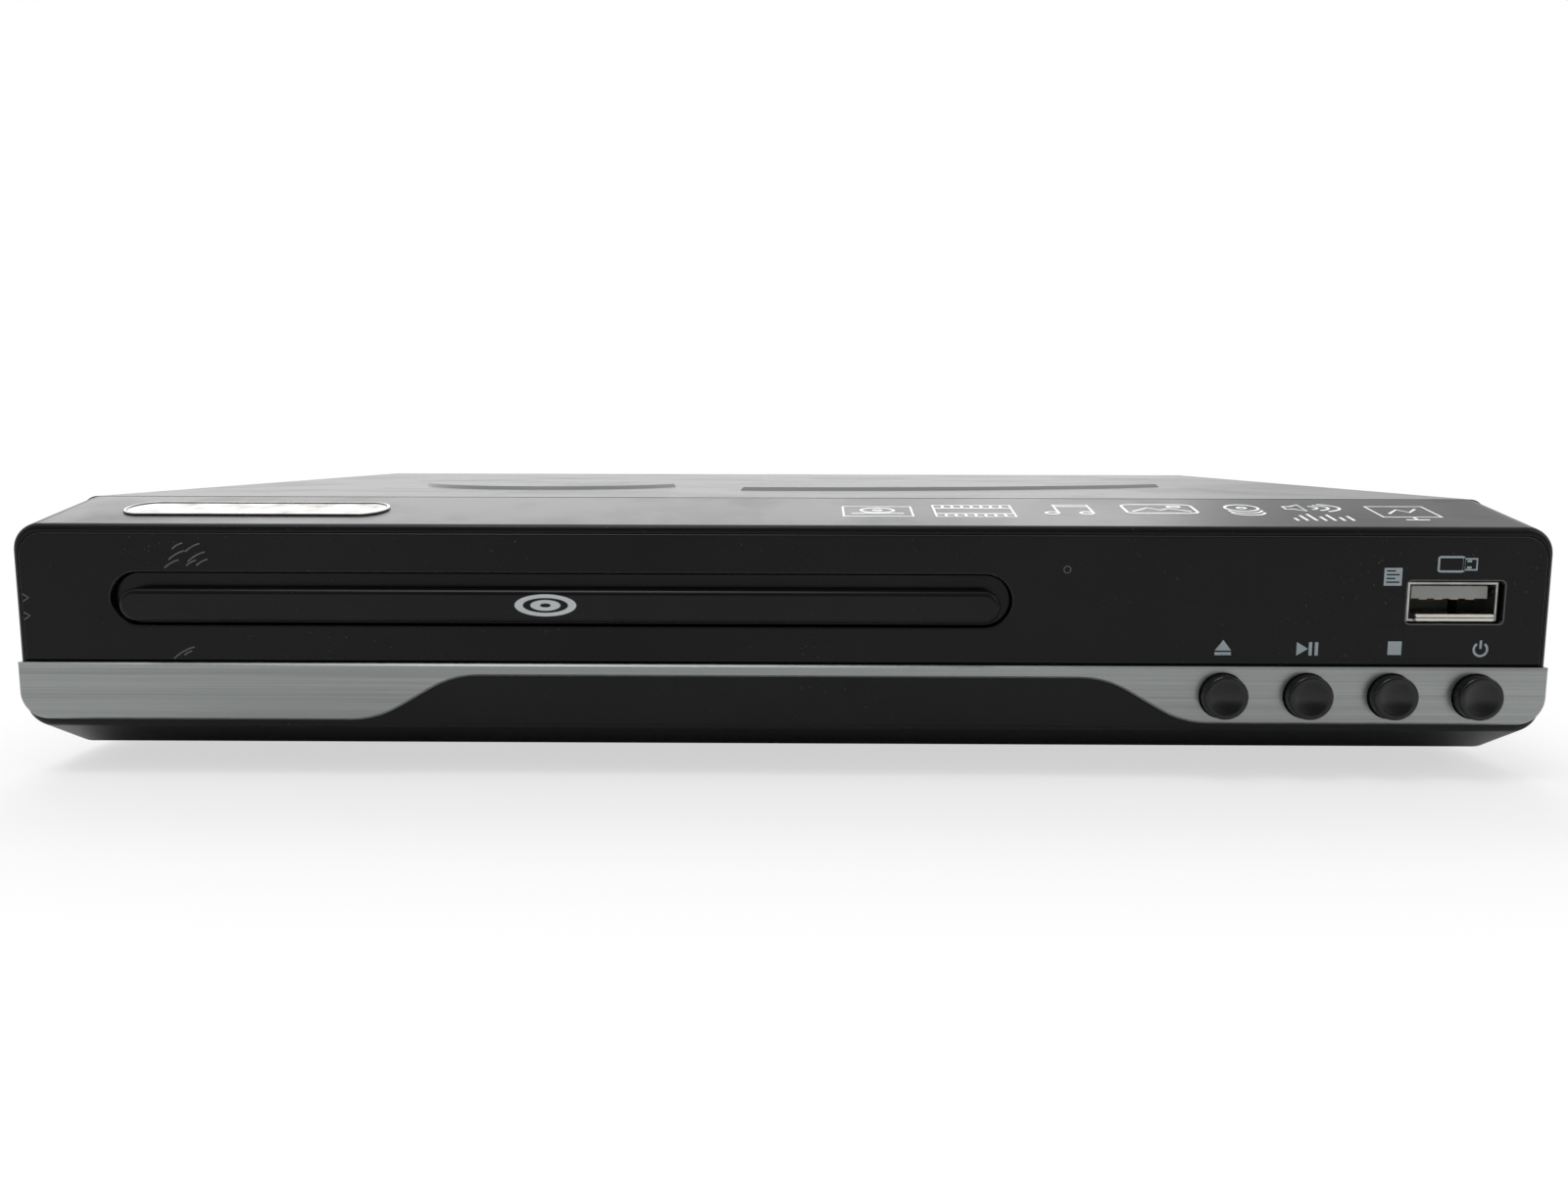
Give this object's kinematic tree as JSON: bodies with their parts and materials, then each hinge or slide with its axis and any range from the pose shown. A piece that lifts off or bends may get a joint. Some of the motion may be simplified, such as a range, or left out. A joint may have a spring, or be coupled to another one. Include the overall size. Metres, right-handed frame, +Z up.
{
  "type": "disc player",
  "caption": "Slim tabletop disc player with a motor-driven loading tray, push buttons, a memory-stick socket and rear phono jacks.",
  "frame": {"origin": "on the floor under the middle of the whole player, front buttons and rear jacks included", "axes": "+X to the right seen from the front, +Y to the back, +Z up"},
  "size_m": [0.225, 0.1702, 0.0413],
  "materials": {
    "case_black": "satin",
    "panel_black": "satin",
    "lens_black": "gloss",
    "silver_trim": "brushed",
    "chrome_badge": "polished",
    "door_black": "satin",
    "button_black": "gloss",
    "tray_plastic": "satin",
    "frame_plastic": "matte",
    "gear_plastic": "satin",
    "zinc_steel": "satin",
    "polished_steel": "polished",
    "rubber_black": "matte",
    "board_green": "satin",
    "chip_black": "matte",
    "connector_white": "satin",
    "capacitor_sleeve": "satin",
    "transformer_tape": "satin",
    "aluminium_fin": "satin",
    "jack_plastic": "satin",
    "jack_colours": "satin",
    "nickel": "satin",
    "brass_contact": "polished",
    "usb_tongue": "satin",
    "cable_grey": "satin",
    "display_dark": "gloss",
    "lens_glass": "polished"
  },
  "bodies": {
    "player": {"front_panel": "panel_black", "front_lens": "lens_black", "silver_trim": "silver_trim", "badge_plate": "chrome_badge", "display_module": "display_dark", "front_board": "board_green", "key_switches": "chip_black", "ir_receiver": "display_dark", "usb_board": "board_green", "usb_shell": "nickel", "usb_tongue": "usb_tongue", "usb_contacts": "brass_contact", "top_cover": "case_black", "bottom_chassis": "zinc_steel", "rear_panel": "case_black", "rubber_feet": "rubber_black", "case_screws": "nickel", "board_screws": "nickel", "main_board": "board_green", "board_chips": "chip_black", "board_connectors": "connector_white", "board_capacitors": "capacitor_sleeve", "power_board": "board_green", "transformer": "transformer_tape", "heat_sink": "aluminium_fin", "mains_inlet": "jack_plastic", "inlet_pins": "nickel", "jack_block": "jack_plastic", "jack_shells": "nickel", "jack_inserts": "jack_colours", "flat_cables": "cable_grey", "usb_cable": "cable_grey", "loader_frame": "frame_plastic", "loader_screws": "nickel", "clamp_bridge": "zinc_steel", "loading_motor": "zinc_steel", "drive_belt": "rubber_black"},
    "tray": {"disc_tray": "tray_plastic", "tray_door": "door_black"},
    "drive_gear": {"drive_gear": "gear_plastic"},
    "pulley_gear": {"pulley_gear": "gear_plastic"},
    "motor_pulley": {"motor_pulley": "gear_plastic"},
    "cam_slider": {"cam_slider": "gear_plastic"},
    "lift_deck": {"lift_frame": "frame_plastic", "deck_plate": "zinc_steel", "deck_grommets": "rubber_black", "deck_screws": "nickel", "spindle_motor": "zinc_steel", "guide_rods": "polished_steel", "sled_motor": "zinc_steel"},
    "turntable": {"turntable": "frame_plastic"},
    "lead_screw": {"lead_screw": "polished_steel"},
    "pickup": {"pickup_sled": "frame_plastic", "pickup_lens": "lens_glass"},
    "clamp_puck": {"clamp_puck": "connector_white"},
    "eject_button": {"eject_button": "button_black"},
    "play_button": {"play_button": "button_black"},
    "stop_button": {"stop_button": "button_black"},
    "power_button": {"power_button": "button_black"}
  },
  "joints": [
    {"name": "tray_slide", "type": "slide", "parent": "player", "child": "tray", "axis": [0, -1, 0], "range_m": [0, 0.124]},
    {"name": "drive_gear_spin", "type": "hinge", "parent": "player", "child": "drive_gear", "pos_m": [0.02022, -0.06243, 0.0172], "axis": [0, 0, -1], "range_deg": [0, 1016]},
    {"name": "pulley_gear_spin", "type": "hinge", "parent": "player", "child": "pulley_gear", "pos_m": [0.00492, -0.06243, 0.0172], "axis": [0, 0, 1], "range_deg": [0, 2201]},
    {"name": "motor_spin", "type": "hinge", "parent": "player", "child": "motor_pulley", "pos_m": [-0.02408, -0.05942, 0.0197], "axis": [0, 0, 1], "range_deg": [0, 7665]},
    {"name": "deck_tilt", "type": "hinge", "parent": "player", "child": "lift_deck", "pos_m": [-0.03208, 0.05958, 0.014], "axis": [1, 0, 0], "range_deg": [0, 4.5]},
    {"name": "cam_slide", "type": "slide", "parent": "player", "child": "cam_slider", "axis": [1, 0, 0], "range_m": [0, 0.01601]},
    {"name": "turntable_spin", "type": "hinge", "parent": "lift_deck", "child": "turntable", "pos_m": [-0.03208, -0.01642, 0.028], "axis": [0, 0, 1], "continuous": true},
    {"name": "pickup_slide", "type": "slide", "parent": "lift_deck", "child": "pickup", "axis": [0, 1, 0], "range_m": [0, 0.035]},
    {"name": "lead_screw_spin", "type": "hinge", "parent": "lift_deck", "child": "lead_screw", "pos_m": [-0.00458, -0.01642, 0.0142], "axis": [0, 1, 0], "range_deg": [0, 4201]},
    {"name": "clamp_spin", "type": "hinge", "parent": "player", "child": "clamp_puck", "pos_m": [-0.03208, -0.01642, 0.032], "axis": [0, 0, 1], "continuous": true},
    {"name": "eject_press", "type": "slide", "parent": "player", "child": "eject_button", "axis": [0, 1, 0], "range_m": [0, 0.0008], "stiffness_N_per_m": 2000},
    {"name": "play_press", "type": "slide", "parent": "player", "child": "play_button", "axis": [0, 1, 0], "range_m": [0, 0.0008], "stiffness_N_per_m": 2000},
    {"name": "stop_press", "type": "slide", "parent": "player", "child": "stop_button", "axis": [0, 1, 0], "range_m": [0, 0.0008], "stiffness_N_per_m": 2000},
    {"name": "power_press", "type": "slide", "parent": "player", "child": "power_button", "axis": [0, 1, 0], "range_m": [0, 0.0008], "stiffness_N_per_m": 2000}
  ],
  "couplings": [
    {"joint": "drive_gear_spin", "follows": "tray_slide", "rad_per_m": 142.86},
    {"joint": "pulley_gear_spin", "follows": "tray_slide", "rad_per_m": 309.52},
    {"joint": "motor_spin", "follows": "tray_slide", "rad_per_m": 1078.6},
    {"joint": "cam_slide", "follows": "deck_tilt", "m_per_rad": 0.20372},
    {"joint": "lead_screw_spin", "follows": "pickup_slide", "rad_per_m": 2094.4}
  ]
}
